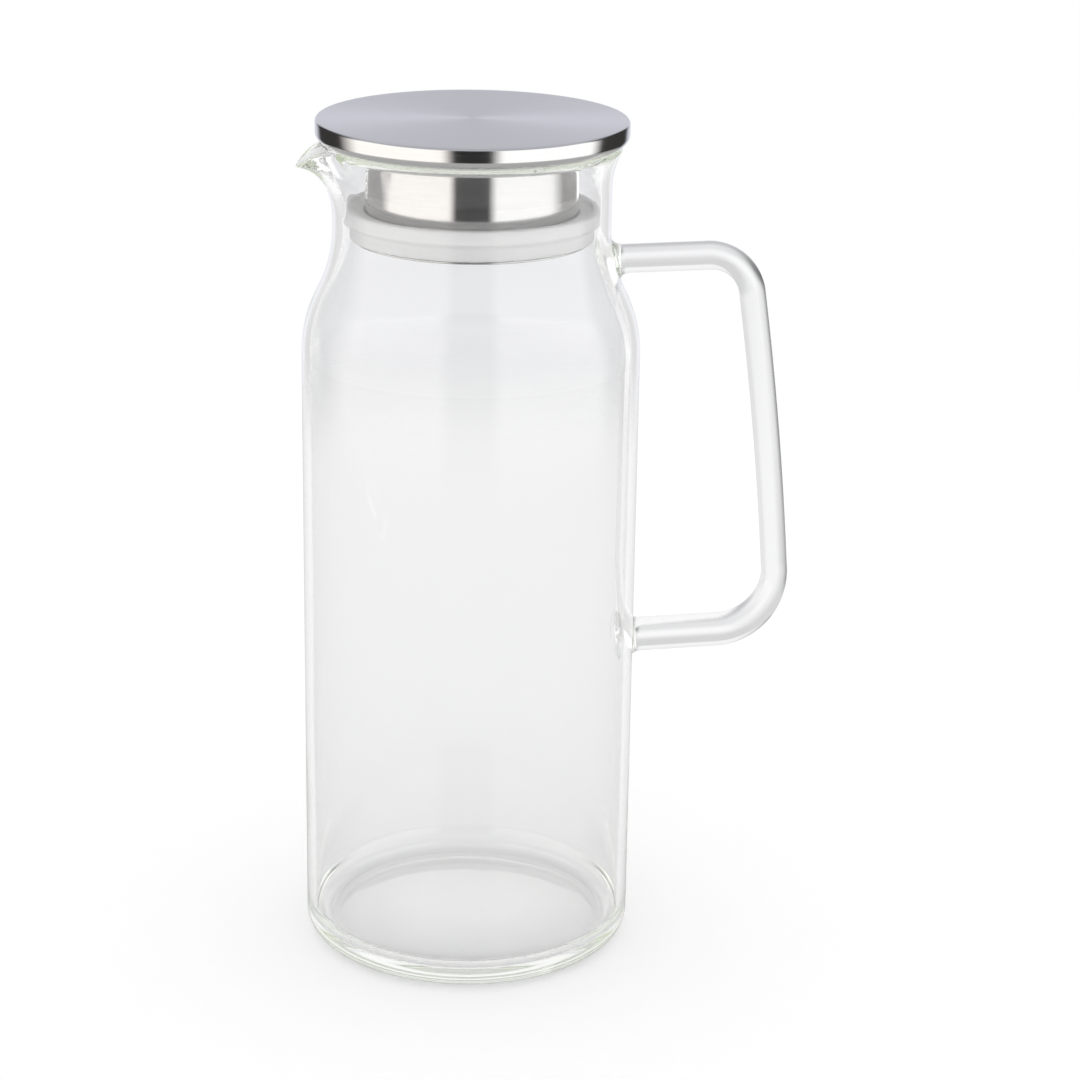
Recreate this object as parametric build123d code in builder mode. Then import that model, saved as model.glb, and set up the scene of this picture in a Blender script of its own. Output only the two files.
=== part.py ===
from build123d import *
from math import asin, copysign, cos, degrees, radians, sin, sqrt
import os

# A glass pitcher of about 1.5 litres with a steel strainer lid, standing on Z = 0.
# The axis of the body is Z, the handle points to +X and the spout to -X. Sizes are in millimetres.

# Glass body
body_radius = 50.0
body_wall = 2.5
base_thickness = 5.0
foot_round = 6.8
floor_round = 7.5
straight_height = 180.2
shoulder_height = 38.0
neck_radius = 40.7
neck_wall = 3.0
neck_height = 10.0
flare_height = 13.3
rim_radius = 43.4
rim_round = 1.1

# Pulled spout in the rim
spout_rise = 17.3
spout_reach = 9.1
spout_half_width = 13.0
spout_wall = 3.0
spout_floor = 2.0
spout_dip = 4.6
spout_bury = 1.2
spout_stations = 8

# Solid glass handle, an oval rod with a round bend at each end of a slightly bowed bar
upper_root_drop = 36.4
handle_span = 119.2
handle_standoff = 46.3
upper_bend_radius = 14.0
lower_bend_radius = 18.0
bar_lean_top = 9.0
bar_lean_bottom = 4.5
rod_width = 10.5
upper_arm_depth = 8.5
bar_depth = 7.8
lower_arm_depth = 10.4
root_flare = 3.0
root_stations = 4

# Clearances between the lid, its ring and the glass
seal_gap = 0.3
turn_gap = 0.3
rim_gap = 0.4
seat_gap = 0.2

# Silicone ring
seal_width = 6.1
seal_height = 9.2
seal_base_height = 4.6
seal_lip = 2.4
seal_lip_reach = 1.8
seal_round = 0.6

# Steel lid
steel = 0.8
cap_overhang = 2.1
cap_height = 6.3
cap_edge_round = 1.0
cap_curl_round = 2.6
cap_lip = 5.0
plate_gap = 0.1
sleeve_depth = 29.5
foot_width = 3.4
foot_bend = 0.5

# Strainer holes in the sleeve
hole_diameter = 1.8
hole_pitch = 2.8
strainer_columns = 13
strainer_turn = 150.0
strainer_margin = 2.4

# Heights that follow from the sizes above
shoulder_start = foot_round + straight_height
neck_start = shoulder_start + shoulder_height
flare_start = neck_start + neck_height
rim_height = flare_start + flare_height
spout_start = rim_height - spout_rise
cap_bottom = rim_height + rim_gap
cap_top = cap_bottom + cap_height
plate_bottom = cap_bottom + steel
sleeve_bottom = plate_bottom - sleeve_depth
seal_bottom = sleeve_bottom + steel + seat_gap
seal_top = seal_bottom + seal_height

# Radii that follow from the sizes above
neck_bore = neck_radius - neck_wall
seal_outer = neck_bore - seal_gap
seal_bore = seal_outer - seal_width
sleeve_radius = seal_bore - turn_gap
cap_radius = rim_radius + cap_overhang

# The shoulder is two equal arcs, and the rim flares along one arc that leaves the neck upright
shoulder_step = body_radius - neck_radius
shoulder_arc = (shoulder_height**2 + shoulder_step**2) / (4 * shoulder_step)
flare_step = rim_radius - neck_radius
flare_rise = flare_height - rim_round
flare_arc = (flare_rise**2 + flare_step**2) / (2 * flare_step)


def outer_radius(height):
    """Outside radius of the glass at a height below the flare."""
    above = height - shoulder_start
    below = neck_start - height
    if above <= 0:
        return body_radius
    if below <= 0:
        return neck_radius
    if above < below:
        return body_radius - shoulder_arc + sqrt(shoulder_arc**2 - above**2)
    return neck_radius + shoulder_arc - sqrt(shoulder_arc**2 - below**2)


def ring_radius(height):
    """Outside radius of the round part of the neck and rim at a height."""
    above = min(flare_rise, max(0.0, height - flare_start))
    return neck_radius + flare_arc - copysign(sqrt(flare_arc**2 - above**2), flare_arc)


def spout_share(height):
    """How far the spout has grown at a height: 0 at its root and 1 at the rim."""
    grown = min(1.0, max(0.0, (height - spout_start) / spout_rise))
    return grown**3 / (grown**3 + (1 - grown) ** 3)


def spout_section(height, radius, share, half_width):
    """Outline of the spout at a height: a nose drawn towards -X, closed by a chord inside the neck."""
    root = radius - spout_bury
    turn = asin(half_width / root)
    near = (-root * cos(turn), -half_width)
    far = (-root * cos(turn), half_width)
    nose = (-root - (spout_bury + spout_reach) * share, 0)
    with BuildSketch(Plane.XY.offset(height)) as section:
        with BuildLine():
            Spline(near, nose, far, tangents=[(-sin(turn), cos(turn)), (sin(turn), cos(turn))])
            Line(far, near)
        make_face()
    return section.sketch


def glass_half(wall, bore_wall, floor, corner, lip_turn):
    """Half outline of the glass, moved in by a wall and a neck wall, with its lip turned in or out."""
    straight = body_radius - wall
    neck = neck_radius - bore_wall
    rim = rim_radius - bore_wall
    lip_middle = (rim + lip_turn * (1 - cos(radians(45))), rim_height - rim_round * (1 - sin(radians(45))))
    shoulder_middle = ((straight + neck) / 2, shoulder_start + shoulder_height / 2)
    with BuildSketch(Plane.XZ) as half:
        with BuildLine():
            Line((0, floor), (straight - corner, floor))
            RadiusArc((straight - corner, floor), (straight, floor + corner), -corner)
            Line((straight, floor + corner), (straight, shoulder_start))
            lower_arc = TangentArc((straight, shoulder_start), shoulder_middle, tangent=(0, 1))
            TangentArc(shoulder_middle, (neck, neck_start), tangent=lower_arc % 1)
            Line((neck, neck_start), (neck, flare_start))
            TangentArc((neck, flare_start), (rim, rim_height - rim_round), tangent=(0, 1))
            ThreePointArc((rim, rim_height - rim_round), lip_middle, (rim + lip_turn, rim_height))
            Line((rim + lip_turn, rim_height), (0, rim_height))
            Line((0, rim_height), (0, floor))
        make_face()
    return half.sketch


# Outside of the glass and the room inside it
outer_half = glass_half(0, 0, 0, foot_round, -rim_round)
inner_half = glass_half(body_wall, neck_wall, base_thickness, floor_round, rim_round)
spout_heights = [spout_start + spout_rise * step / spout_stations for step in range(spout_stations + 1)]
spout_tip = rim_radius + spout_reach
outer_nose = []
inner_nose = []
for height in spout_heights:
    ring = ring_radius(height)
    outer_nose.append(spout_section(height, ring, spout_share(height), spout_half_width))
    inner_share = spout_share(height - spout_floor)
    inner_nose.append(spout_section(height, ring - neck_wall, inner_share, spout_half_width - spout_wall))

with BuildPart() as glass_body:
    revolve(outer_half, axis=Axis.Z)
    loft(outer_nose)
    revolve(inner_half, axis=Axis.Z, mode=Mode.SUBTRACT)
    loft(inner_nose, mode=Mode.SUBTRACT)
    with BuildSketch(Plane.XZ):
        with BuildLine():
            Polyline(
                (-rim_radius, rim_height),
                (-spout_tip, rim_height - spout_dip),
                (-spout_tip - spout_dip, rim_height - spout_dip),
                (-spout_tip - spout_dip, rim_height),
                close=True,
            )
        make_face()
    extrude(amount=spout_half_width, both=True, mode=Mode.SUBTRACT)
glass_body.part.label = "glass_body"

# The handle's centre line: upper arm, upper bend, bowed bar, lower bend and lower arm
top_angle = radians(90 - bar_lean_top)
bottom_angle = radians(90 - bar_lean_bottom)
upper_root = rim_height - upper_root_drop
lower_root = upper_root - handle_span
upper_drop = upper_bend_radius * (1 - cos(top_angle))
lower_drop = lower_bend_radius * (1 + cos(bottom_angle))
bar_radius = (handle_span - upper_drop - lower_drop) / (cos(top_angle) - cos(bottom_angle))
bar_out = bar_radius * (sin(bottom_angle) - sin(top_angle))
lower_out = lower_bend_radius * (1 - sin(bottom_angle))
arm_end = body_radius + handle_standoff - lower_out - bar_out - upper_bend_radius * sin(top_angle)
upper_wall = outer_radius(upper_root)
lower_wall = outer_radius(lower_root)


def rod_section(centre, along, depth, flare=0.0):
    """Oval section of the rod at a point of its centre line, wider and deeper by the flare all round."""
    with BuildSketch(Plane(origin=centre, x_dir=(0, 1, 0), z_dir=along)) as section:
        Ellipse(rod_width / 2 + flare, depth / 2 + flare)
    return section.sketch


def root_sections(wall, height, along, depth):
    """Sections of a fused root, from inside the glass wall out to where the flare has died away."""
    sections = [rod_section((wall - neck_wall, 0, height), along, depth, root_flare)]
    for step in range(root_stations + 1):
        out = root_flare * step / root_stations
        flare = root_flare - sqrt(root_flare**2 - (root_flare - out) ** 2)
        sections.append(rod_section((wall + out, 0, height), along, depth, flare))
    return sections


with BuildPart() as glass_handle:
    with BuildLine(Plane.XZ):
        upper_bend = JernArc((arm_end, upper_root), (1, 0), upper_bend_radius, -degrees(top_angle))
        bar = JernArc(upper_bend @ 1, upper_bend % 1, bar_radius, bar_lean_bottom - bar_lean_top)
        lower_bend = JernArc(bar @ 1, bar % 1, lower_bend_radius, degrees(bottom_angle) - 180)
    spans = [
        (upper_bend, upper_arm_depth, bar_depth),
        (bar, bar_depth, bar_depth),
        (lower_bend, bar_depth, lower_arm_depth),
    ]
    for curve, first_depth, last_depth in spans:
        ends = [rod_section(curve @ 0, curve % 0, first_depth), rod_section(curve @ 1, curve % 1, last_depth)]
        sweep(ends, path=curve, multisection=True)
    upper_end = rod_section(upper_bend @ 0, (1, 0, 0), upper_arm_depth)
    loft(root_sections(upper_wall, upper_root, (1, 0, 0), upper_arm_depth) + [upper_end], ruled=True)
    lower_end = rod_section(lower_bend @ 1, (1, 0, 0), lower_arm_depth)
    loft(root_sections(lower_wall, lower_root, (1, 0, 0), lower_arm_depth) + [lower_end], ruled=True)
    revolve(outer_half, axis=Axis.Z, mode=Mode.SUBTRACT)
glass_handle.part.label = "glass_handle"

# Silicone ring: a base that hugs the sleeve and a lip that stands up against the neck
seal_base_outer = seal_outer - seal_lip_reach
seal_trough = seal_bottom + seal_base_height
with BuildPart() as seal_ring:
    with BuildSketch(Plane.XZ) as seal_half:
        with BuildLine():
            Polyline(
                (seal_bore, seal_bottom),
                (seal_base_outer, seal_bottom),
                (seal_base_outer, seal_trough - seal_round),
                (seal_outer, seal_trough + seal_round),
                (seal_outer, seal_top),
                (seal_outer - seal_lip, seal_top),
                (seal_outer - seal_lip, seal_trough),
                (seal_bore, seal_trough),
                close=True,
            )
        make_face()
        fillet(seal_half.vertices(), seal_round)
    revolve(axis=Axis.Z)
seal_ring.part.label = "seal_ring"

# Cap: a drawn steel shell with its bottom edge rolled inwards
with BuildPart() as lid_cap:
    with BuildSketch(Plane.XZ) as cap_half:
        with BuildLine():
            Polyline(
                (0, cap_top),
                (cap_radius, cap_top),
                (cap_radius, cap_bottom),
                (cap_radius - cap_lip, cap_bottom),
                (cap_radius - cap_lip, plate_bottom),
                (cap_radius - steel, plate_bottom),
                (cap_radius - steel, cap_top - steel),
                (0, cap_top - steel),
                close=True,
            )
        make_face()
        rim_corners = cap_half.vertices().group_by(Axis.X)[-1].sort_by(Axis.Y)
        inner_corners = cap_half.vertices().group_by(Axis.X)[-2].sort_by(Axis.Y)
        fillet(rim_corners[-1], cap_edge_round)
        fillet(rim_corners[0], cap_curl_round)
        fillet(inner_corners[0], cap_curl_round - steel)
    revolve(axis=Axis.Z)
lid_cap.part.label = "lid_cap"

# Base plate: lies on the rolled edge inside the cap and carries the sleeve
with BuildPart() as lid_base_plate:
    with BuildSketch(Plane.XY.offset(plate_bottom)):
        Circle(cap_radius - cap_curl_round - plate_gap)
    extrude(amount=steel)
lid_base_plate.part.label = "lid_base_plate"

# Sleeve: a steel tube with an out-turned foot under the ring and a patch of strainer holes
strainer_bottom = seal_top + strainer_margin
strainer_height = cap_bottom - strainer_margin - strainer_bottom
strainer_rows = int(strainer_height / hole_pitch) + 1
with BuildPart() as strainer_sleeve:
    with BuildSketch(Plane.XZ) as sleeve_half:
        with BuildLine():
            Polyline(
                (sleeve_radius - steel, plate_bottom),
                (sleeve_radius, plate_bottom),
                (sleeve_radius, sleeve_bottom + steel),
                (sleeve_radius + foot_width, sleeve_bottom + steel),
                (sleeve_radius + foot_width, sleeve_bottom),
                (sleeve_radius - steel, sleeve_bottom),
                close=True,
            )
        make_face()
        fillet(sleeve_half.vertices().group_by(Axis.Y)[0].sort_by(Axis.X)[0], foot_bend)
    revolve(axis=Axis.Z)
    for column in range(strainer_columns):
        turn = strainer_turn + degrees(hole_pitch / sleeve_radius) * (column - (strainer_columns - 1) / 2)
        stagger = hole_pitch / 4 if column % 2 else -hole_pitch / 4
        middle = strainer_bottom + strainer_height / 2 + stagger
        outward = (cos(radians(turn)), sin(radians(turn)), 0)
        with BuildSketch(Plane(origin=(0, 0, middle), x_dir=(0, 0, 1), z_dir=outward)):
            with GridLocations(hole_pitch, hole_pitch, strainer_rows, 1):
                Circle(hole_diameter / 2)
        extrude(amount=sleeve_radius + steel, mode=Mode.SUBTRACT)
strainer_sleeve.part.label = "strainer_sleeve"

os.makedirs("parts", exist_ok=True)
for piece in (glass_body, glass_handle, seal_ring, lid_cap, lid_base_plate, strainer_sleeve):
    export_step(piece.part, f"parts/{piece.part.label}.step")
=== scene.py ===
"""Looks of a clear glass pitcher with a steel strainer lid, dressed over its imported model."""

import logging
import math
from dataclasses import dataclass
from enum import Enum
from typing import Iterator, Sequence, Union

import bmesh
import bpy
from mathutils import Matrix, Vector


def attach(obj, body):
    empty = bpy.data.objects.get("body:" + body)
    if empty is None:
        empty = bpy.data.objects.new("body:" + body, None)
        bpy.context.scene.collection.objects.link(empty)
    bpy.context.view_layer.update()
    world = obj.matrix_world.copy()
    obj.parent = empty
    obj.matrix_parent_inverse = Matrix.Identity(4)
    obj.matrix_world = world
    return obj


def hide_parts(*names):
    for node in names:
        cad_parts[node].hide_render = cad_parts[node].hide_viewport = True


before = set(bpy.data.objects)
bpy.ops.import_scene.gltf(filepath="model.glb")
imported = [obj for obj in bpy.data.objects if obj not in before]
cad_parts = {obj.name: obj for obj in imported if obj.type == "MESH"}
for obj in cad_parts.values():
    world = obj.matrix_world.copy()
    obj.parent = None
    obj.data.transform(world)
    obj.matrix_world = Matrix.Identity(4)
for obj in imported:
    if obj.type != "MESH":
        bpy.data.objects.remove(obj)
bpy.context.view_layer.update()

logging.basicConfig(level=logging.INFO, format="%(name)s: %(message)s")
log = logging.getLogger("pitcher")

MM = 0.001
NEAR = 1e-4
TINY = 1e-9
NOISE_MEAN = 0.5
Colour = tuple[float, float, float, float]
Level = tuple[float, float, float]
Value = Union["Signal", float, int, Colour, Level]

# Levels of light that steel and glass meet round the studio
BACK: Level = (0.49, 0.495, 0.55)
CREAM: Level = (1.0, 0.965, 0.93)
WHITE: Level = (1.0, 1.0, 1.0)
PALE: Level = (0.93, 0.93, 0.94)
GAP: Level = (0.03, 0.029, 0.028)
CAMERA: Level = (0.02, 0.02, 0.02)
SHADE: Level = (0.27, 0.265, 0.265)
DUSK: Level = (0.1, 0.1, 0.102)
HAZE: Level = (0.8, 0.8, 0.81)
FAR_WALL: Level = (0.74, 0.74, 0.75)
HALF_LIGHT: Level = (0.66, 0.66, 0.67)
LOW_LIGHT: Level = (0.6, 0.6, 0.61)
LOW_EDGE: Level = (0.25, 0.25, 0.255)
MURK: Level = (0.2, 0.2, 0.205)

# Steel that is polished or drawn bright, in its scratches and between them
BRIGHT_DARK: Colour = (0.6, 0.595, 0.59, 1.0)
BRIGHT_LIGHT: Colour = (0.68, 0.675, 0.67, 1.0)

# Degrees round the axis from the camera's side, left below 0, and the light from there
CAP_SIGHT = (
    (-180, BACK),
    (-157, BACK),
    (-146, GAP),
    (-112, GAP),
    (-92, CREAM),
    (-22, CREAM),
    (-13, CAMERA),
    (13, CAMERA),
    (22, WHITE),
    (96, WHITE),
    (108, GAP),
    (148, GAP),
    (158, BACK),
    (180, BACK),
)
SLEEVE_SIGHT = (
    (-180, WHITE),
    (-158, WHITE),
    (-148, SHADE),
    (-110, SHADE),
    (-97, CREAM),
    (-24, CREAM),
    (-17, CAMERA),
    (17, CAMERA),
    (26, WHITE),
    (92, WHITE),
    (112, SHADE),
    (146, SHADE),
    (154, WHITE),
    (180, WHITE),
)
LENS_SIGHT = (
    (-180, PALE),
    (-170, PALE),
    (-150, HALF_LIGHT),
    (-136, MURK),
    (-118, DUSK),
    (-104, DUSK),
    (-98, PALE),
    (-20, PALE),
    (-14, CAMERA),
    (14, CAMERA),
    (20, PALE),
    (120, PALE),
    (148, HAZE),
    (160, PALE),
    (180, PALE),
)
LOW_SIGHT = (
    (-180, FAR_WALL),
    (-174, LOW_LIGHT),
    (-163, LOW_EDGE),
    (-140, DUSK),
    (-104, DUSK),
    (-96, PALE),
    (150, PALE),
    (180, FAR_WALL),
)


class Signal:
    """A value on a shader socket that can be used in arithmetic."""

    def __init__(self, graph: "Graph", socket: bpy.types.NodeSocket) -> None:
        """Keeps the graph and the socket that the value comes from."""
        self.graph = graph
        self.socket = socket

    def _math(self, operation: str, first: Value, second: Value) -> "Signal":
        """One Math node on two values."""
        return self.graph.add("ShaderNodeMath", {"operation": operation}, {0: first, 1: second})

    def __add__(self, other: Value) -> "Signal":
        """Sum with a number or another signal."""
        return self._math("ADD", self, other)

    def __radd__(self, other: Value) -> "Signal":
        """Sum with the number on the left."""
        return self._math("ADD", other, self)

    def __sub__(self, other: Value) -> "Signal":
        """Difference with a number or another signal."""
        return self._math("SUBTRACT", self, other)

    def __rsub__(self, other: Value) -> "Signal":
        """Difference with the number on the left."""
        return self._math("SUBTRACT", other, self)

    def __mul__(self, other: Value) -> "Signal":
        """Product with a number or another signal."""
        return self._math("MULTIPLY", self, other)

    def __rmul__(self, other: Value) -> "Signal":
        """Product with the number on the left."""
        return self._math("MULTIPLY", other, self)

    def __truediv__(self, other: Value) -> "Signal":
        """Quotient with a number or another signal."""
        return self._math("DIVIDE", self, other)

    def __pow__(self, other: Value) -> "Signal":
        """This value raised to a power."""
        return self._math("POWER", self, other)

    def at_most(self, limit: Value) -> "Signal":
        """The smaller of this value and a limit."""
        return self._math("MINIMUM", self, limit)

    def at_least(self, limit: Value) -> "Signal":
        """The larger of this value and a limit."""
        return self._math("MAXIMUM", self, limit)


class Graph:
    """A node tree that finishes are written into."""

    def __init__(self, tree: bpy.types.NodeTree) -> None:
        """Empties the tree and keeps it."""
        self.tree = tree
        tree.nodes.clear()

    def add(
        self,
        kind: str,
        settings: dict[str, object] | None = None,
        sockets: dict[str | int, Value] | None = None,
        output: str | int = 0,
    ) -> Signal:
        """Adds a node.

        Args:
            kind: The node's type.
            settings: Its own settings, set first. The name stops sets a ramp's places and colours.
            sockets: A value or a link for each socket that is named.
            output: The socket that the node gives back.

        Returns:
            The node's output as a signal.
        """
        node = self.tree.nodes.new(kind)
        for name, value in (settings or {}).items():
            if name == "stops":
                self._set_stops(node.color_ramp, value)
            else:
                setattr(node, name, value)
        for name, value in (sockets or {}).items():
            if isinstance(value, Signal):
                self.tree.links.new(value.socket, node.inputs[name])
            else:
                node.inputs[name].default_value = value
        return Signal(self, node.outputs[output] if node.outputs else None)

    @staticmethod
    def _set_stops(ramp: bpy.types.ColorRamp, stops: Sequence[tuple[float, Level]]) -> None:
        """Gives a ramp its stops.

        Args:
            ramp: The ramp of a new node, which has two stops.
            stops: Place and colour of each stop, in order.
        """
        while len(ramp.elements) < len(stops):
            ramp.elements.new(1.0)
        for element, (place, level) in zip(ramp.elements, stops):
            element.position = place
            element.color = (*level, 1.0)

    def coordinates(self) -> Signal:
        """Object coordinates of the piece."""
        return self.add("ShaderNodeTexCoord", output="Object")

    def axes(self, vector: Signal) -> tuple[Signal, Signal, Signal]:
        """The three parts of a vector.

        Args:
            vector: The vector that is taken apart.

        Returns:
            Its X, Y and Z.
        """
        x = self.add("ShaderNodeSeparateXYZ", sockets={0: vector})
        outputs = x.socket.node.outputs
        return x, Signal(self, outputs[1]), Signal(self, outputs[2])

    def joined(self, x: Value, y: Value, z: Value) -> Signal:
        """A vector from its three parts."""
        return self.add("ShaderNodeCombineXYZ", sockets={0: x, 1: y, 2: z})

    def noise(self, vector: Signal, scale: float, detail: float = 2.0) -> Signal:
        """Soft noise from 0 to 1 at a scale."""
        sockets = {"Vector": vector, "Scale": scale, "Detail": detail}
        return self.add("ShaderNodeTexNoise", sockets=sockets)

    def step(self, value: Signal, low: float, high: float) -> Signal:
        """A smooth step from 0 at low to 1 at high."""
        sockets = {"Value": value, "From Min": low, "From Max": high}
        return self.add("ShaderNodeMapRange", {"interpolation_type": "SMOOTHSTEP"}, sockets)

    def blend(self, factor: Value, first: Value, second: Value) -> Signal:
        """A colour between two colours."""
        settings = {"data_type": "RGBA"}
        return self.add("ShaderNodeMix", settings, {0: factor, 6: first, 7: second}, output=2)

    def bump(self, height: Signal, distance: float) -> Signal:
        """A normal that follows a height, where 1 stands for a distance in metres."""
        return self.add("ShaderNodeBump", sockets={"Height": height, "Distance": distance})


@dataclass(frozen=True)
class Finish:
    """A finish of one of the pitcher's surfaces."""

    name: str

    def sockets(self, graph: Graph) -> dict[str | int, Value]:
        """Sockets of the surface shader.

        Args:
            graph: The graph of the finish's material.

        Returns:
            What each socket that the finish sets is given.
        """
        raise NotImplementedError

    def inside(self, graph: Graph) -> Signal | None:
        """What fills the piece, or None where light never gets in."""
        return None

    def material(self) -> bpy.types.Material:
        """The finish as a new material.

        Returns:
            The new material.
        """
        material = bpy.data.materials.new(self.name)
        material.use_nodes = True
        graph = Graph(material.node_tree)
        ends = {"Surface": graph.add("ShaderNodeBsdfPrincipled", sockets=self.sockets(graph))}
        filling = self.inside(graph)
        if filling is not None:
            ends["Volume"] = filling
        graph.add("ShaderNodeOutputMaterial", sockets=ends)
        return material


@dataclass(frozen=True)
class ClearGlass(Finish):
    """Hand-worked borosilicate: clear, faintly wavy, greener the longer the way through it."""

    index: float = 1.472
    wave_scale: float = 26.0
    wave_height: float = 0.00006
    smear_scale: float = 78.0
    smear: float = 0.012
    tint: Colour = (0.85, 1.0, 0.62, 1.0)
    density: float = 0.7

    def sockets(self, graph: Graph) -> dict[str | int, Value]:
        """Sockets of clear glass with a slow wave and faint smears.

        Args:
            graph: The graph of the finish's material.

        Returns:
            What each socket that the finish sets is given.
        """
        place = graph.coordinates()
        wave = graph.noise(place, self.wave_scale, detail=1.0)
        smears = graph.noise(place, self.smear_scale, detail=3.0)
        return {
            "Base Color": (1.0, 1.0, 1.0, 1.0),
            "Roughness": smears * self.smear,
            "IOR": self.index,
            "Transmission Weight": 1.0,
            "Normal": graph.bump(wave, self.wave_height),
        }

    def inside(self, graph: Graph) -> Signal:
        """Glass that takes a little red and blue on the way."""
        sockets = {"Color": self.tint, "Density": self.density}
        return graph.add("ShaderNodeVolumeAbsorption", sockets=sockets)


class Grain(Enum):
    """How far the round scratches of a steel surface draw out what it mirrors."""

    ROUND = 0.8
    SATIN = 0.45
    POLISHED = 0.3


@dataclass(frozen=True)
class TurnedSteel(Finish):
    """Stainless steel whose fine scratches run round the axis of the lid."""

    grain: Grain = Grain.ROUND
    roughness: float = 0.3
    roughness_spread: float = 0.1
    dark: Colour = (0.56, 0.555, 0.55, 1.0)
    light: Colour = (0.66, 0.655, 0.65, 1.0)
    ring_scale: float = 2600.0
    ring_height: float = 0.0000012
    arc_share: float = 2.5
    smudge_scale: float = 38.0
    smudge: float = 0.05
    least_roughness: float = 0.04
    grain_turn: float = 0.25

    def sockets(self, graph: Graph) -> dict[str | int, Value]:
        """Sockets of steel with ring scratches and soft smudges.

        Args:
            graph: The graph of the finish's material.

        Returns:
            What each socket that the finish sets is given.
        """
        place = graph.coordinates()
        x, y, z = graph.axes(place)
        radius = (x * x + y * y + TINY) ** 0.5
        along = (radius + z) * self.ring_scale
        polar = graph.joined(along, x / radius * self.arc_share, y / radius * self.arc_share)
        rings = graph.noise(polar, scale=1.0)
        smudges = graph.noise(place, self.smudge_scale, detail=3.0)
        scratched = (rings - NOISE_MEAN) * self.roughness_spread
        rough = self.roughness + scratched + (smudges - NOISE_MEAN) * self.smudge
        return {
            "Base Color": graph.blend(rings, self.dark, self.light),
            "Metallic": 1.0,
            "Roughness": rough.at_least(self.least_roughness),
            "Anisotropic": self.grain.value,
            "Anisotropic Rotation": self.grain_turn,
            "Normal": graph.bump(rings, self.ring_height),
        }


@dataclass(frozen=True)
class SoftSilicone(Finish):
    """Milky silicone with a faint bloom."""

    milk: Colour = (0.97, 0.975, 0.975, 1.0)
    shade: Colour = (0.94, 0.945, 0.945, 1.0)
    bloom_scale: float = 160.0
    bloom_height: float = 0.00001
    roughness: float = 0.3
    roughness_spread: float = 0.2
    index: float = 1.41
    clearness: float = 0.12
    milkiness: float = 0.8
    depth: float = 0.006

    def sockets(self, graph: Graph) -> dict[str | int, Value]:
        """Sockets of milky silicone.

        Args:
            graph: The graph of the finish's material.

        Returns:
            What each socket that the finish sets is given.
        """
        bloom = graph.noise(graph.coordinates(), self.bloom_scale, detail=4.0)
        return {
            "Base Color": graph.blend(bloom, self.shade, self.milk),
            "Roughness": self.roughness + bloom * self.roughness_spread,
            "IOR": self.index,
            "Transmission Weight": self.clearness,
            "Subsurface Weight": self.milkiness,
            "Subsurface Radius": (1.0, 1.0, 1.0),
            "Subsurface Scale": self.depth,
            "Normal": graph.bump(bloom, self.bloom_height),
        }


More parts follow.
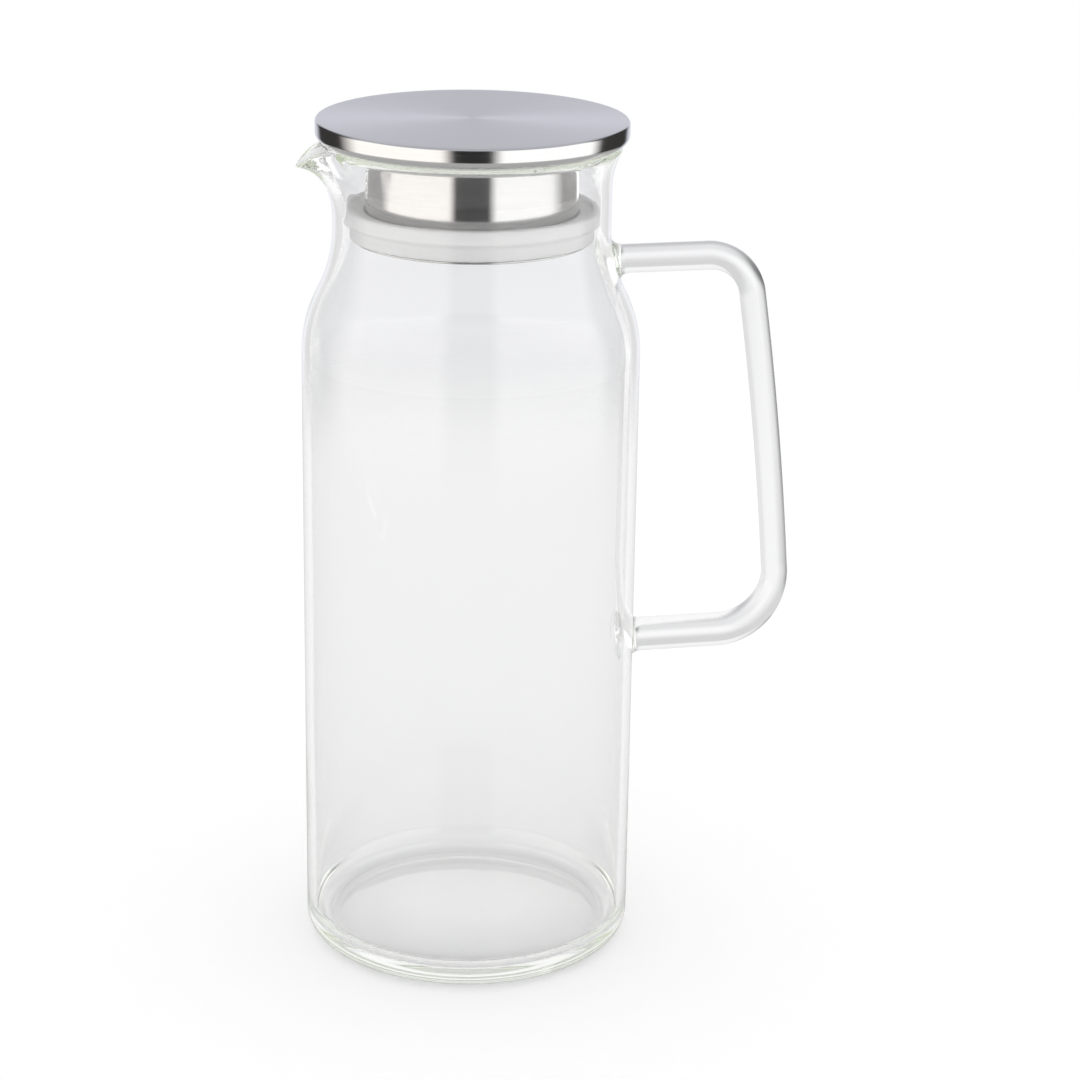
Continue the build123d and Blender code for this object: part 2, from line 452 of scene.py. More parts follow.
class Outline:
    """A half outline in the XZ plane in millimetres, drawn by a pen and turned about Z."""

    def __init__(self, radius: float, height: float) -> None:
        """Puts the pen down at a radius and a height.

        Args:
            radius: Radius of the first point.
            height: Height of the first point.
        """
        self.bm = bmesh.new()
        self.pen = self.bm.verts.new((radius, 0.0, height))
        self.start = self.pen

    def line(self, radius: float, height: float, cuts: int = 0) -> "Outline":
        """Draws a straight line.

        Args:
            radius: Radius of its end.
            height: Height of its end.
            cuts: Points that divide it evenly.

        Returns:
            The outline itself.
        """
        start = self.pen.co.copy()
        end = Vector((radius, 0.0, height))
        for step in range(cuts + 1):
            made = bmesh.ops.extrude_vert_indiv(self.bm, verts=[self.pen])
            self.pen = made["verts"][0]
            self.pen.co = start.lerp(end, (step + 1) / (cuts + 1))
        return self

    def arc(self, radius: float, height: float, turn: float, steps: int) -> "Outline":
        """Draws an arc round a centre.

        Args:
            radius: Radius of the centre.
            height: Height of the centre.
            turn: Angle in degrees, from X towards Z.
            steps: Edges of the arc.

        Returns:
            The outline itself.
        """
        made = bmesh.ops.spin(
            self.bm,
            geom=[self.pen],
            cent=(radius, 0.0, height),
            axis=(0.0, 1.0, 0.0),
            angle=-math.radians(turn),
            steps=steps,
        )
        self.pen = next(item for item in made["geom_last"] if isinstance(item, bmesh.types.BMVert))
        return self

    def sweep(self, radius: float, height: float, steps: int) -> "Outline":
        """Draws the S of two equal arcs that starts and ends upright.

        Args:
            radius: Radius of its end.
            height: Height of its end.
            steps: Edges of each arc.

        Returns:
            The outline itself.
        """
        step = radius - self.pen.co.x
        rise = height - self.pen.co.z
        size = (rise**2 + step**2) / (4 * step)
        turn = math.degrees(2 * math.atan(step / rise))
        self.arc(self.pen.co.x + size, self.pen.co.z, -turn, steps)
        return self.arc(radius - size, height, turn, steps)

    def flare(self, radius: float, height: float, steps: int) -> "Outline":
        """Draws one arc that starts upright.

        Args:
            radius: Radius of its end.
            height: Height of its end.
            steps: Edges of the arc.

        Returns:
            The outline itself.
        """
        step = radius - self.pen.co.x
        rise = height - self.pen.co.z
        size = (rise**2 + step**2) / (2 * step)
        turn = math.degrees(2 * math.atan(step / rise))
        return self.arc(self.pen.co.x + size, self.pen.co.z, -turn, steps)

    def ease(self, radius: float, height: float, steps: int) -> "Outline":
        """Draws one arc that ends upright.

        Args:
            radius: Radius of its end.
            height: Height of its end.
            steps: Edges of the arc.

        Returns:
            The outline itself.
        """
        step = self.pen.co.x - radius
        rise = self.pen.co.z - height
        size = (rise**2 + step**2) / (2 * step)
        turn = math.degrees(2 * math.atan(step / rise))
        return self.arc(radius + size, height, turn, steps)

    def dome(self, radius: float, height: float, steps: int) -> "Outline":
        """Draws one shallow arc between the axis, where it is level, and a point.

        Args:
            radius: Radius of its end, which is 0 where the pen comes in to the axis.
            height: Height of its end.
            steps: Edges of the arc.

        Returns:
            The outline itself.
        """
        outward = radius > 0
        reach = radius if outward else self.pen.co.x
        crown = self.pen.co.z if outward else height
        drop = crown - (height if outward else self.pen.co.z)
        size = (reach**2 + drop**2) / (2 * drop)
        turn = math.degrees(math.asin(reach / size))
        return self.arc(0.0, crown - size, -turn if outward else turn, steps)

    def close(self) -> "Outline":
        """Joins the pen to the start."""
        self.bm.edges.new((self.pen, self.start))
        return self

    def round(
        self,
        places: Sequence[tuple[float, float]],
        radius: float,
        steps: int = 6,
    ) -> "Outline":
        """Rounds the corners at some places.

        Args:
            places: Radius and height of each corner.
            radius: How far the rounding reaches from the corner.
            steps: Edges of each rounding.

        Returns:
            The outline itself.
        """
        spots = [Vector((r, 0.0, h)) for r, h in places]
        corners = [v for v in self.bm.verts if min((v.co - spot).length for spot in spots) < NEAR]
        bmesh.ops.bevel(
            self.bm,
            geom=corners,
            offset=radius,
            affect="VERTICES",
            segments=steps,
            profile=0.5,
            material=-1,
        )
        return self

    def turned(self, steps: int) -> bmesh.types.BMesh:
        """Turns the outline all the way round.

        Args:
            steps: Faces round the axis.

        Returns:
            The turned mesh, closed, with its faces pointing out.
        """
        bmesh.ops.spin(
            self.bm,
            geom=self.bm.verts[:] + self.bm.edges[:],
            cent=(0.0, 0.0, 0.0),
            axis=(0.0, 0.0, 1.0),
            angle=math.tau,
            steps=steps,
            use_merge=True,
        )
        bmesh.ops.remove_doubles(self.bm, verts=self.bm.verts, dist=NEAR)
        bmesh.ops.recalc_face_normals(self.bm, faces=self.bm.faces)
        return self.bm


@dataclass(frozen=True)
class Place:
    """Where a piece belongs: its name, the solid it stands for, its body and its finish slot."""

    name: str
    node: str
    body: str
    slot: str

    def settle(
        self,
        bm: bmesh.types.BMesh,
        finishes: Sequence[Finish],
        crease: float = 35.0,
    ) -> bpy.types.Object:
        """Makes the piece from a mesh in millimetres and puts it on its body.

        Args:
            bm: The mesh, which is used up.
            finishes: Finishes of the mesh's material slots, in order.
            crease: Angle in degrees past which an edge stays sharp.

        Returns:
            The new piece.
        """
        bmesh.ops.scale(bm, vec=(MM, MM, MM), verts=bm.verts)
        for face in bm.faces:
            face.smooth = True
        for edge in bm.edges:
            edge.smooth = edge.calc_face_angle(0.0) < math.radians(crease)
        mesh = bpy.data.meshes.new(self.name)
        bm.to_mesh(mesh)
        bm.free()
        for finish in finishes:
            mesh.materials.append(finish.material())
        piece = bpy.data.objects.new(self.name, mesh)
        bpy.context.scene.collection.objects.link(piece)
        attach(piece, self.body)
        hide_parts(self.node)
        log.info("%s: %d faces, on %s", self.name, len(mesh.polygons), self.body)
        return piece


@dataclass
class GlassBody:
    """The blown body: thick base, straight wall, S shoulder, neck, flared rim and pulled spout."""

    radius: float = 50.0
    wall: float = 2.5
    base: float = 5.0
    push_up: float = 1.2
    foot_round: float = 6.8
    floor_round: float = 7.5
    shoulder_start: float = 185.2
    neck_start: float = 223.2
    flare_start: float = 235.0
    rim_height: float = 248.3
    neck_radius: float = 40.7
    neck_wall: float = 3.0
    rim_radius: float = 43.4
    spout_start: float = 226.5
    spout_reach: float = 8.8
    spout_half_width: float = 11.0
    spout_floor: float = 2.0
    spout_dip: float = 6.0
    spout_growth: float = 1.8
    spout_nose: float = 2.2
    spout_droop: float = 1.9
    spout_spread: float = 14.0
    foot_ring: float = 3.0
    floor_crown: float = 0.6
    rim_lean: float = 25.5
    dome_steps: int = 8
    bend_steps: int = 14
    flare_steps: int = 18
    lip_steps: int = 12
    wall_cuts: int = 3
    neck_cuts: int = 9
    turns: int = 432

    def ring(self, height: float) -> float:
        """Outside radius of the round neck and rim at a height.

        Args:
            height: Height above the table.

        Returns:
            The radius.
        """
        lip = self.neck_wall / 2
        rise = self.rim_height - lip - self.flare_start
        step = self.rim_radius - self.neck_radius
        size = (rise**2 + step**2) / (2 * step)
        above = min(rise, max(0.0, height - self.flare_start))
        return self.neck_radius + size - math.sqrt(size**2 - above**2)

    def outer_radius(self, height: float) -> float:
        """Outside radius of the body and shoulder at a height below the flare.

        Args:
            height: Height above the table.

        Returns:
            The radius.
        """
        step = self.radius - self.neck_radius
        rise = self.neck_start - self.shoulder_start
        size = (rise**2 + step**2) / (4 * step)
        above = max(0.0, height - self.shoulder_start)
        below = max(0.0, self.neck_start - height)
        if above < below:
            return self.radius - size + math.sqrt(size**2 - above**2)
        return self.neck_radius + size - math.sqrt(size**2 - below**2)

    def turned_wall(self) -> bmesh.types.BMesh:
        """The body before its spout is pulled, as a closed wall.

        Returns:
            The turned mesh.
        """
        bore = self.neck_radius - self.neck_wall
        inner = self.radius - self.wall
        foot = self.radius - self.foot_round
        floor = inner - self.floor_round
        lean = math.radians(self.rim_lean)
        lip = self.neck_wall / 2 * math.cos(lean)
        lip_radius = self.rim_radius - lip
        lip_height = self.rim_height - lip
        pen = Outline(0.0, self.push_up)
        lip_out = lip_radius + lip * math.cos(lean)
        lip_low = lip_height - lip * math.sin(lean)
        pen.dome(foot - self.foot_ring, 0.0, self.dome_steps).line(foot, 0.0, cuts=1)
        pen.arc(foot, self.foot_round, 90.0, self.bend_steps)
        pen.line(self.radius, self.shoulder_start, self.wall_cuts)
        pen.sweep(self.neck_radius, self.neck_start, self.bend_steps)
        pen.line(self.neck_radius, self.flare_start, self.neck_cuts)
        pen.flare(lip_out, lip_low, self.flare_steps)
        pen.arc(lip_radius, lip_height, 180.0, self.lip_steps)
        pen.ease(bore, self.flare_start, self.flare_steps)
        pen.line(bore, self.neck_start, self.neck_cuts)
        pen.sweep(inner, self.shoulder_start, self.bend_steps)
        pen.line(inner, self.base + self.floor_round, self.wall_cuts)
        pen.arc(floor, self.base + self.floor_round, -90.0, self.bend_steps)
        pen.dome(0.0, self.base + self.floor_crown, self.dome_steps)
        return pen.turned(self.turns)

    def pull_spout(self, bm: bmesh.types.BMesh) -> None:
        """Draws the rim out to -X into a pouring lip.

        Args:
            bm: The turned wall, whose vertices are moved.
        """
        for vertex in bm.verts:
            x, y, z = vertex.co
            if x > 0 or z < self.spout_start:
                continue
            depth = (self.ring(z) - math.hypot(x, y)) / self.neck_wall
            depth = min(1.0, max(0.0, depth))
            start = self.spout_start + self.spout_floor * depth
            grown = min(1.0, max(0.0, (z - start) / (self.rim_height - start)))
            half = self.spout_half_width - self.neck_wall * depth
            across = abs(y) / (half + self.spout_spread * (1 - grown))
            if across >= 1 or grown == 0:
                continue
            middle = math.cos(math.pi / 2 * across) ** self.spout_nose
            share = grown**self.spout_growth * middle
            vertex.co.x -= self.spout_reach * share
            vertex.co.z -= self.spout_dip * share**self.spout_droop

    def build(self) -> None:
        """Makes the body and dresses it."""
        bm = self.turned_wall()
        self.pull_spout(bm)
        bmesh.ops.recalc_face_normals(bm, faces=bm.faces)
        place = Place("pitcher_body", "glass_body", "pitcher", "clear_glass")
        place.settle(bm, [ClearGlass("clear_glass")])


@dataclass(frozen=True)
class Station:
    """A place on the handle's centre line with the oval section there."""

    out: float
    height: float
    lean: float
    depth: float
    width: float
    gap: float | None = None

    def frame(self) -> Matrix:
        """Matrix that puts a unit circle in the section's place.

        Returns:
            The matrix.
        """
        lean = math.radians(self.lean)
        normal = Vector((math.cos(lean), 0.0, math.sin(lean)))
        along = Vector((math.sin(lean), 0.0, -math.cos(lean)))
        side = Vector((0.0, self.width / 2, 0.0))
        turn = Matrix((side, normal * self.depth / 2, along)).transposed().to_4x4()
        return Matrix.Translation((self.out, 0.0, self.height)) @ turn


@dataclass
class GlassHandle:
    """The solid glass handle: an oval rod bent twice, with a fused root at each end."""

    body: GlassBody
    upper_root: float = 211.9
    span: float = 119.2
    standoff: float = 46.3
    upper_bend: float = 14.0
    lower_bend: float = 18.0
    lean_top: float = 9.0
    lean_bottom: float = 4.5
    width: float = 10.5
    upper_depth: float = 8.5
    bar_depth: float = 7.8
    lower_depth: float = 10.4
    fillet_top: float = 4.5
    fillet: float = 2.6
    fillet_length: float = 4.0
    overlap: float = 0.4
    fillet_steps: int = 8
    fillet_gather: float = 1.6
    bend_steps: int = 24
    lower_steps: int = 28
    sides: int = 48

    def root(self, height: float, lean: float, depth: float, top: float) -> list[Station]:
        """Sections of a fused root, from inside the wall out to the plain rod.

        Args:
            height: Height of the rod's centre line.
            lean: Angle of the rod's outer side, 90 above and -90 below.
            depth: Depth of the plain rod.
            top: How far the fillet climbs above the rod.

        Returns:
            The sections in order.
        """
        stations = []
        gaps = [-self.overlap]
        for step in range(self.fillet_steps + 1):
            share = step / self.fillet_steps
            gaps.append(self.fillet_length * share**self.fillet_gather)
        for gap in gaps:
            left = 1 - max(0.0, gap) / self.fillet_length
            flare = 1 - math.sqrt(max(0.0, 1 - left**2))
            middle = height + flare * (top - self.fillet) / 2
            deep = depth + flare * (top + self.fillet)
            wide = self.width + 2 * flare * self.fillet
            out = self.body.outer_radius(height) + gap
            stations.append(Station(out, middle, lean, deep, wide, gap))
        return stations

    def stations(self) -> Iterator[Station]:
        """Sections of the whole handle, from the upper root to the lower one.

        Returns:
            The sections in order.
        """
        lean_top = math.radians(self.lean_top)
        lean_bottom = math.radians(self.lean_bottom)
        sin_top, cos_top = math.sin(lean_top), math.cos(lean_top)
        sin_bottom, cos_bottom = math.sin(lean_bottom), math.cos(lean_bottom)
        lower_root = self.upper_root - self.span
        drop = self.upper_bend * (1 - sin_top) + self.lower_bend * (1 + sin_bottom)
        bar = (self.span - drop) / (sin_top - sin_bottom)
        lower_centre = self.body.radius + self.standoff - self.lower_bend
        bar_centre = lower_centre + (self.lower_bend - bar) * cos_bottom
        upper_centre = bar_centre + (bar - self.upper_bend) * cos_top
        lower_height = lower_root + self.lower_bend
        bar_height = lower_height + (self.lower_bend - bar) * sin_bottom
        upper_height = self.upper_root - self.upper_bend
        upper = (upper_centre, upper_height, self.upper_bend)
        upright = (bar_centre, bar_height, bar)
        lower = (lower_centre, lower_height, self.lower_bend)
        thin = self.bar_depth
        bends = [
            (upper, (90.0, self.lean_top), (self.upper_depth, thin), self.bend_steps),
            (upright, (self.lean_top, self.lean_bottom), (thin, thin), self.bend_steps),
            (lower, (self.lean_bottom, -90.0), (thin, self.lower_depth), self.lower_steps),
        ]
        yield from self.root(self.upper_root, 90.0, self.upper_depth, self.fillet_top)
        for (out, height, radius), (first, last), (before, after), steps in bends:
            for step in range(steps + 1):
                share = step / steps
                lean = first + (last - first) * share
                ease = share * share * (3 - 2 * share)
                turn = math.radians(lean)
                yield Station(
                    out + radius * math.cos(turn),
                    height + radius * math.sin(turn),
                    lean,
                    before + (after - before) * ease,
                    self.width,
                )
        yield from reversed(self.root(lower_root, -90.0, self.lower_depth, self.fillet))

    def rod(self) -> bmesh.types.BMesh:
        """The handle as one closed rod whose ends follow the wall.

        Returns:
            The rod's mesh.
        """
        bm = bmesh.new()
        last = None
        ring = []
        for station in self.stations():
            here = station.frame()
            if last is None:
                made = bmesh.ops.create_circle(bm, radius=1.0, segments=self.sides, matrix=here)
                ring = made["verts"]
            elif (last.translation - here.translation).length < NEAR:
                continue
            else:
                made = bmesh.ops.extrude_edge_only(bm, edges=self.loop(ring))
                ring = [item for item in made["geom"] if isinstance(item, bmesh.types.BMVert)]
                bmesh.ops.transform(bm, matrix=here @ last.inverted(), verts=ring)
            last = here
            if station.gap is not None:
                self.follow(ring, station.gap)
        bmesh.ops.holes_fill(bm, edges=[edge for edge in bm.edges if edge.is_boundary])
        bmesh.ops.recalc_face_normals(bm, faces=bm.faces)
        return bm

    @staticmethod
    def loop(ring: Sequence[bmesh.types.BMVert]) -> list[bmesh.types.BMEdge]:
        """The edges that run round a ring of vertices, in order."""
        met = dict.fromkeys(edge for vertex in ring for edge in vertex.link_edges)
        return [edge for edge in met if set(edge.verts) <= set(ring)]

    def follow(self, ring: Sequence[bmesh.types.BMVert], gap: float) -> None:
        """Moves a ring along X to a distance from the curved wall.

        Args:
            ring: Vertices of one section.
            gap: Distance from the outside of the wall, below 0 inside it.
        """
        for vertex in ring:
            wall = self.body.outer_radius(vertex.co.z)
            vertex.co.x = math.sqrt(wall**2 - vertex.co.y**2) + gap

    def build(self) -> None:
        """Makes the handle and dresses it."""
        place = Place("pitcher_handle", "glass_handle", "pitcher", "handle_glass")
        place.settle(self.rod(), [ClearGlass("handle_glass")])


@dataclass
class SealRing:
    """The silicone ring round the sleeve, with a lip that stands up against the neck."""

    outer: float = 37.4
    base_outer: float = 35.6
    bore: float = 31.3
    bottom: float = 221.0
    step: float = 225.6
    trough: float = 229.0
    top: float = 230.2
    lip: float = 2.4
    slant: float = 0.6
    edge: float = 0.6
    turns: int = 192

    def build(self) -> None:
        """Makes the ring and dresses it."""
        lip_bore = self.outer - self.lip
        corners = [
            (self.base_outer, self.bottom),
            (self.base_outer, self.step - self.slant),
            (self.outer, self.step + self.slant),
            (self.outer, self.top),
            (lip_bore, self.top),
            (lip_bore, self.trough),
            (self.bore, self.trough),
        ]
        pen = Outline(self.bore, self.bottom)
        for corner in corners:
            pen.line(*corner)
        pen.close().round([(self.bore, self.bottom)] + corners, self.edge)
        place = Place("lid_seal", "seal_ring", "seal", "white_silicone")
        place.settle(pen.turned(self.turns), [SoftSilicone("white_silicone")])


@dataclass
class SteelLid:
    """The lid: a brushed cap closed by a base plate, and a strainer sleeve below it."""

    steel: float = 0.8
    cap_radius: float = 45.5
    cap_bottom: float = 248.7
    cap_top: float = 255.0
    cap_edge: float = 0.9
    cap_curl: float = 2.6
    cap_lip: float = 5.0
    cap_lip_round: float = 0.32
    top_slope: float = 0.9
    plate_radius: float = 42.8
    plate_round: float = 0.24
    sleeve_radius: float = 31.0
    sleeve_bottom: float = 220.0
    sleeve_seat: float = 0.05
    foot_width: float = 3.4
    foot_trim: float = 0.1
    foot_bend: float = 0.8
    bend_reach: float = 1.6
    bend_half: float = 0.5
    hole_radius: float = 0.9
    hole_swell: float = 1.1
    hole_pitch: float = 2.8
    hole_middle: float = 238.75
    hole_rows: int = 5
    hole_columns: int = 13
    strainer_turn: float = 150.0
    turns: int = 256
    plate_turns: int = 192
    sleeve_turns: int = 140

    def cap(self) -> None:
        """Makes the cap: a drawn shell with its edge rolled in."""
        plate = self.cap_bottom + self.steel
        inner = self.cap_radius - self.steel
        lip = self.cap_radius - self.cap_lip
        pen = Outline(0.0, self.cap_top)
        pen.line(self.cap_radius, self.cap_top, cuts=12).line(self.cap_radius, self.cap_bottom)
        pen.line(lip, self.cap_bottom).line(lip, plate).line(inner, plate)
        pen.line(inner, self.cap_top - self.steel).line(0.0, self.cap_top - self.steel, cuts=6)
        pen.round([(self.cap_radius, self.cap_top)], self.cap_edge)
        pen.round([(self.cap_radius, self.cap_bottom)], self.cap_curl, steps=12)
        pen.round([(inner, plate)], self.cap_curl - self.steel)
        pen.round([(lip, self.cap_bottom), (lip, plate)], self.cap_lip_round, steps=4)
        bm = pen.turned(self.turns)
        for face in bm.faces:
            face.material_index = int(face.normal.z < self.top_slope)
        top = TurnedSteel("brushed_cap_steel")
        side = TurnedSteel(
            "polished_cap_side",
            grain=Grain.POLISHED,
            roughness=0.13,
            roughness_spread=0.05,
            dark=BRIGHT_DARK,
            light=BRIGHT_LIGHT,
        )
        place = Place("lid_top", "lid_cap", "lid", "brushed_cap_steel")
        place.settle(bm, [top, side])

    def plate(self) -> None:
        """Makes the base plate that closes the cap from below."""
        bottom = self.cap_bottom + self.steel
        top = bottom + self.steel
        pen = Outline(0.0, bottom)
        pen.line(self.plate_radius, bottom, cuts=8).line(self.plate_radius, top)
        pen.line(0.0, top, cuts=8)
        edges = [(self.plate_radius, bottom), (self.plate_radius, top)]
        pen.round(edges, self.plate_round, steps=3)
        finish = TurnedSteel("plate_steel", grain=Grain.SATIN, roughness=0.32)
        place = Place("lid_plate", "lid_base_plate", "lid", "plate_steel")
        place.settle(pen.turned(self.plate_turns), [finish])

    def sleeve(self) -> None:
        """Makes the sleeve with its turned foot and strainer holes."""
        middle = self.sleeve_radius - self.steel / 2
        half = self.hole_pitch / 2
        foot = self.sleeve_bottom + self.steel / 2
        rows_below = int((self.hole_middle - foot - self.foot_bend) / half)
        first = self.hole_middle - rows_below * half
        top = self.cap_bottom + self.steel - self.sleeve_seat
        rows = int((top - first) / half)
        bend = self.foot_bend * self.bend_half
        pen = Outline(self.sleeve_radius + self.foot_width - self.foot_trim, foot)
        pen.line(middle + self.foot_bend * self.bend_reach, foot, cuts=2)
        pen.line(middle + bend, foot).line(middle, foot + bend).line(middle, first)
        pen.line(middle, first + rows * half, rows - 1).line(middle, top)
        turn = Matrix.Rotation(math.radians(self.strainer_turn), 3, "Z")
        bmesh.ops.rotate(pen.bm, cent=(0, 0, 0), matrix=turn, verts=pen.bm.verts)
        bm = pen.turned(self.sleeve_turns)
        self.strain(bm, half)
        finish = TurnedSteel(
            "sleeve_steel",
            grain=Grain.SATIN,
            roughness=0.13,
            roughness_spread=0.06,
            dark=BRIGHT_DARK,
            light=BRIGHT_LIGHT,
        )
        place = Place("strainer_tube", "strainer_sleeve", "lid", "sleeve_steel")
        self.thicken(place.settle(bm, [finish]))

    def strain(self, bm: bmesh.types.BMesh, half: float) -> None:
        """Opens the strainer holes in the sleeve.

        Args:
            bm: The turned sleeve, a single sheet.
            half: Half of the holes' pitch, which is the height of a face.
        """
        step = math.tau / self.sleeve_turns
        room = half / 4
        centre = math.radians(self.strainer_turn)
        across = self.hole_columns // 2
        up = self.hole_rows // 2
        spots = []
        for column in range(-across, across + 1):
            turn = centre + 2 * column * step
            for row in range(-up, up + 1):
                height = self.hole_middle + row * self.hole_pitch + half * (column % 2)
                radius = self.sleeve_radius - self.steel / 2
                spots.append(Vector((radius * math.cos(turn), radius * math.sin(turn), height)))
        hubs = [v for v in bm.verts if min((v.co - spot).length for spot in spots) < room]
        bmesh.ops.dissolve_verts(bm, verts=hubs)
        cells = [face for face in bm.faces if len(face.verts) == 8]
        bmesh.ops.inset_individual(bm, faces=cells, thickness=room)
        for cell in cells:
            hub = cell.calc_center_median()
            for vertex in cell.verts:
                reach = self.hole_radius * self.hole_swell
                vertex.co = hub + (vertex.co - hub).normalized() * reach
        bmesh.ops.delete(bm, geom=cells, context="FACES")

    def thicken(self, piece: bpy.types.Object) -> None:
        """Gives the sleeve's sheet its thickness and rounds its edges.

        Args:
            piece: The sleeve, whose mesh is replaced.
        """
        solid = piece.modifiers.new("thickness", "SOLIDIFY")
        solid.thickness = self.steel * MM
        solid.offset = 0.0
        smooth = piece.modifiers.new("rounding", "SUBSURF")
        smooth.levels = smooth.render_levels = 1
        graph = bpy.context.evaluated_depsgraph_get()
        mesh = bpy.data.meshes.new_from_object(piece.evaluated_get(graph))
        piece.modifiers.clear()
        piece.data = mesh
        log.info("%s: %d faces once thickened", piece.name, len(mesh.polygons))

    def build(self) -> None:
        """Makes the three pieces of the lid and dresses them."""
        self.cap()
        self.plate()
        self.sleeve()


class Sight:
    """How the light of one ray comes to the camera, each part of it 0 or 1."""

    def __init__(self, graph: Graph) -> None:
        """Reads the ray's path.

        Args:
            graph: The graph that the path is asked in.
        """
        camera = graph.add("ShaderNodeLightPath", output="Is Camera Ray")
        outputs = camera.socket.node.outputs
        walls = Signal(graph, outputs["Transmission Depth"])
        self.mirrored = Signal(graph, outputs["Glossy Depth"]).at_most(1.0)
        glass = walls.at_most(1.0)
        self.through = (walls - 2).at_least(0.0).at_most(1.0)
        self.lens = glass * (1 - self.through)
        scattered = Signal(graph, outputs["Diffuse Depth"])
        asked = (1 - camera) * (1 - self.mirrored) * (1 - glass)
        self.scattered = (scattered + asked).at_most(1.0)
        self.seen = (camera + self.through * (1 - self.mirrored)).at_most(1.0)


@dataclass
class Studio:
    """A pale floor, a white studio whose light goes by each ray's path, and the camera."""

    eye: tuple[float, float, float] = (-0.1626, -0.8364, 0.4186)
    heading: float = 77.567
    pitch: float = -18.915
    roll: float = 0.909
    lens: float = 99.34
    bounces: int = 400
    clear_bounces: int = 48
    floor_radius: float = 0.8
    floor_full: float = 0.5
    floor_gone: float = 0.75
    floor_glow: float = 0.42
    floor_colour: Colour = (0.62, 0.62, 0.62, 1.0)
    near: tuple[float, float] = (0.12, 0.16)
    # Painted shade on the floor under the jug, as seen through glass: its strength and its reach
    painted_shade_strength: float = 0.17
    painted_shade_reach: tuple[float, float] = (0.0, 0.06)
    white: Colour = (1.0, 1.0, 1.0, 1.0)
    ceiling: Colour = (0.4, 0.407, 0.45, 1.0)
    overhead: tuple[float, float] = (0.4, 0.75)
    veil: Colour = (0.84, 0.845, 0.865, 1.0)
    dim: Colour = (0.66, 0.66, 0.67, 1.0)
    band: tuple[float, float, float, float] = (-0.32, -0.02, 0.2, 0.3)
    low: tuple[float, float] = (0.33, 0.52)
    deep: Colour = (0.5, 0.5, 0.51, 1.0)
    fall: tuple[float, float] = (0.55, 0.8)
    edge_light: float = 0.8
    behind_glass: float = 1.2
    sides: tuple[float, float] = (0.2, 0.6)
    panel: float = 1.6

    def camera(self) -> None:
        """Puts the camera where the photographer stood."""
        angles = (self.heading, self.pitch, self.roll)
        heading, pitch, roll = (math.radians(angle) for angle in angles)
        flat = Vector((math.cos(heading), math.sin(heading), 0.0))
        forward = flat * math.cos(pitch) + Vector((0.0, 0.0, math.sin(pitch)))
        level = forward.cross(Vector((0.0, 0.0, 1.0))).normalized()
        upright = level.cross(forward)
        right = level * math.cos(roll) + upright * math.sin(roll)
        up = upright * math.cos(roll) - level * math.sin(roll)
        data = bpy.data.cameras.new("camera")
        data.lens = self.lens
        camera = bpy.data.objects.new("camera", data)
        turn = Matrix((right, up, -forward)).transposed().to_4x4()
        camera.matrix_world = Matrix.Translation(self.eye) @ turn
        bpy.context.scene.collection.objects.link(camera)
        bpy.context.scene.camera = camera

    def floor(self) -> None:
        """Lays the floor: it keeps the shadow, glows to the camera and glass, and fades out."""
        bm = bmesh.new()
        bmesh.ops.create_circle(bm, cap_ends=True, radius=self.floor_radius, segments=96)
        mesh = bpy.data.meshes.new("floor")
        bm.to_mesh(mesh)
        bm.free()
        material = bpy.data.materials.new("pale_floor")
        material.use_nodes = True
        graph = Graph(material.node_tree)
        x, y, _ = graph.axes(graph.coordinates())
        reach = (x * x + y * y) ** 0.5
        gone = graph.step(reach, self.floor_full, self.floor_gone)
        paint = graph.add("ShaderNodeBsdfDiffuse", sockets={"Color": self.floor_colour})
        sight = Sight(graph)
        bent = sight.lens * (1 - sight.mirrored) * graph.step(reach, *self.near)
        gone = gone.at_least(bent)
        shown = (sight.seen + sight.lens).at_most(1.0) * self.floor_glow
        # Painted shade: the floor's glow is turned down under the jug, where it is seen through
        # glass
        painted_shade = sight.through * (1 - sight.mirrored) * graph.step(reach, *self.painted_shade_reach)
        sockets = {"Color": self.white, "Strength": shown - painted_shade * self.painted_shade_strength}
        glow = graph.add("ShaderNodeEmission", sockets=sockets)
        lit = graph.add("ShaderNodeAddShader", sockets={0: paint, 1: glow})
        clear = graph.add("ShaderNodeBsdfTransparent")
        surface = graph.add("ShaderNodeMixShader", sockets={0: gone, 1: lit, 2: clear})
        graph.add("ShaderNodeOutputMaterial", sockets={"Surface": surface})
        mesh.materials.append(material)
        floor = bpy.data.objects.new("floor", mesh)
        bpy.context.scene.collection.objects.link(floor)

    def panels(self, graph: Graph, turn: Signal, levels: Sequence[tuple[float, Level]]) -> Signal:
        """The studio's walls as one kind of ray sees them.

        Args:
            graph: The world's graph.
            turn: Angle about Z from the camera's side, from 0 at its back left to 1.
            levels: Angle in degrees, from -180 to 180, and colour of each stop.

        Returns:
            The colour of the walls.
        """
        stops = [(angle / 360 + 0.5, level) for angle, level in levels]
        return graph.add("ShaderNodeValToRGB", {"stops": stops}, {0: turn})

    def lens_light(self, graph: Graph, turn: Signal, z: Signal, sight: Sight) -> Signal:
        """The studio as it is seen through one thickness of glass, bent as by a lens.

        Args:
            graph: The world's graph.
            turn: Angle about Z from the camera's side, from 0 to 1.
            z: How far the ray points up, from -1 to 1.
            sight: The ray's path.

        Returns:
            The colour that comes through the glass.
        """
        bottom, rise, drop, top = self.band
        band = graph.step(z, bottom, rise) * (1 - graph.step(z, drop, top))
        lens = graph.blend(band, self.panels(graph, turn, LENS_SIGHT), self.dim)
        low = self.panels(graph, turn, LOW_SIGHT)
        low = graph.blend(graph.step(0 - z, *self.fall), low, self.deep)
        lens = graph.blend(graph.step(0 - z, *self.low), lens, low)
        return graph.blend(sight.mirrored * self.edge_light, lens, self.white)

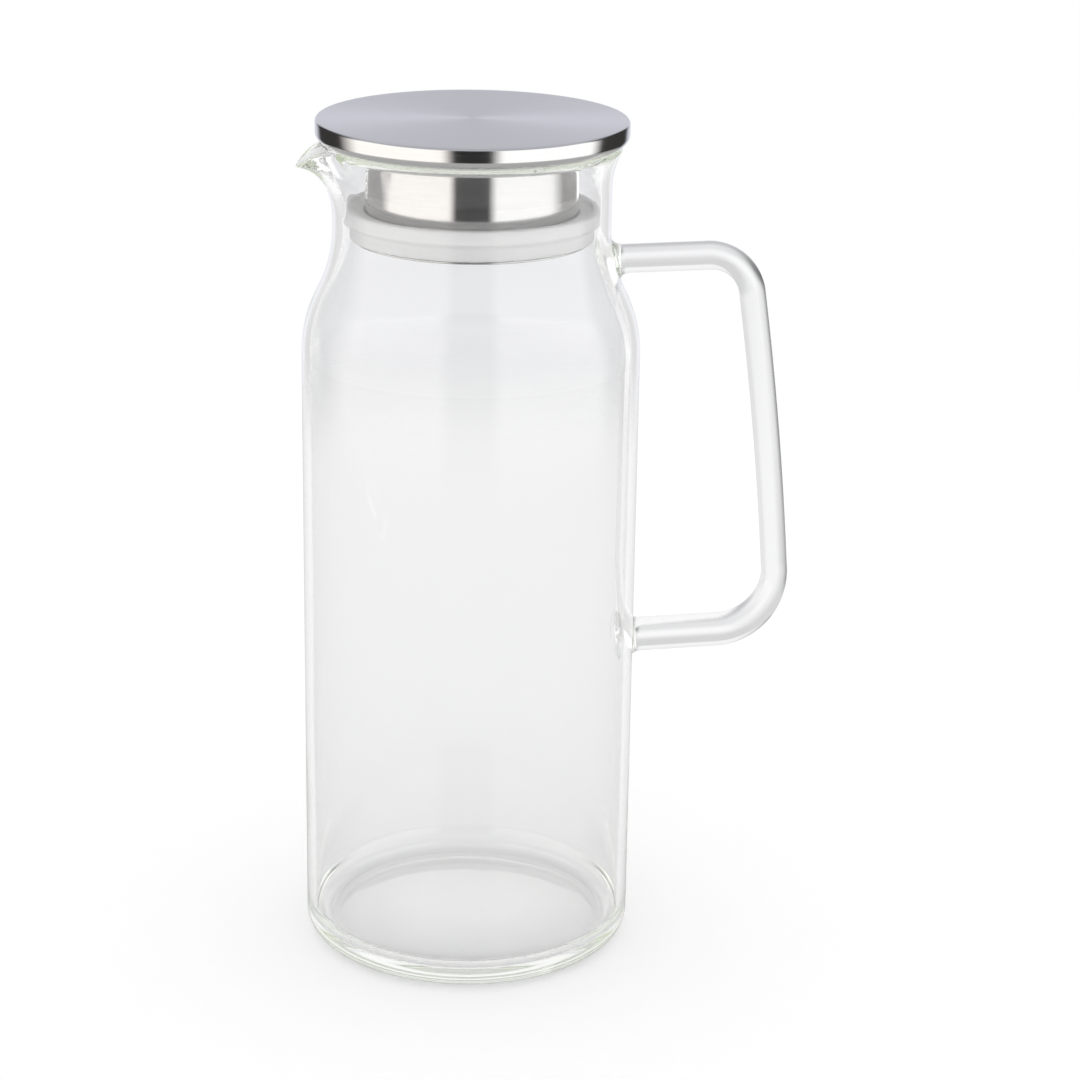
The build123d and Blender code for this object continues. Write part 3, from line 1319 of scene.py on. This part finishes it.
    def world(self) -> None:
        """Lights the scene by each ray's path.

        The camera and scattered light meet plain white, with more from the sides behind glass.
        Steel and single glass meet panels with dark gaps, and a view through the jug a veil.
        """
        world = bpy.data.worlds.new("studio")
        bpy.context.scene.world = world
        world.use_nodes = True
        graph = Graph(world.node_tree)
        x, y, z = graph.axes(graph.add("ShaderNodeTexCoord", output="Generated"))
        reach = math.hypot(self.eye[0], self.eye[1])
        ahead, across = self.eye[0] / reach, self.eye[1] / reach
        sockets = {0: y * ahead - x * across, 1: x * ahead + y * across}
        turn = graph.add("ShaderNodeMath", {"operation": "ARCTAN2"}, sockets) / math.tau + 0.5
        sight = Sight(graph)
        cap = self.panels(graph, turn, CAP_SIGHT)
        sleeve = self.panels(graph, turn, SLEEVE_SIGHT)
        steel = graph.blend(sight.through, cap, sleeve)
        steel = graph.blend(graph.step(z, *self.overhead), steel, self.ceiling)
        light = graph.blend(sight.lens, steel, self.lens_light(graph, turn, z, sight))
        plain = (sight.seen + sight.scattered).at_most(1.0)
        veiled = sight.through * (1 - sight.scattered)
        backdrop = graph.blend(veiled, self.white, self.veil)
        colour = graph.blend(plain, light, backdrop)
        strength = 1 + (1 - sight.lens) * (1 - plain) * (self.panel - 1)
        aside = 1 - graph.step(z, *self.sides)
        enclosed = sight.scattered * sight.through * aside
        strength = strength + enclosed * self.behind_glass
        sky = graph.add("ShaderNodeBackground", sockets={"Color": colour, "Strength": strength})
        graph.add("ShaderNodeOutputWorld", sockets={"Surface": sky})

    def build(self) -> None:
        """Sets the stage."""
        scene = bpy.context.scene
        scene.view_settings.view_transform = "Standard"
        scene.cycles.max_bounces = self.bounces
        scene.cycles.glossy_bounces = self.bounces
        scene.cycles.transmission_bounces = self.clear_bounces
        self.camera()
        self.floor()
        self.world()
        log.info("studio set")


def main() -> None:
    """Builds the pitcher piece by piece and sets the stage."""
    body = GlassBody()
    body.build()
    GlassHandle(body).build()
    SealRing().build()
    SteelLid().build()
    Studio().build()


if __name__ == "__main__":
    main()
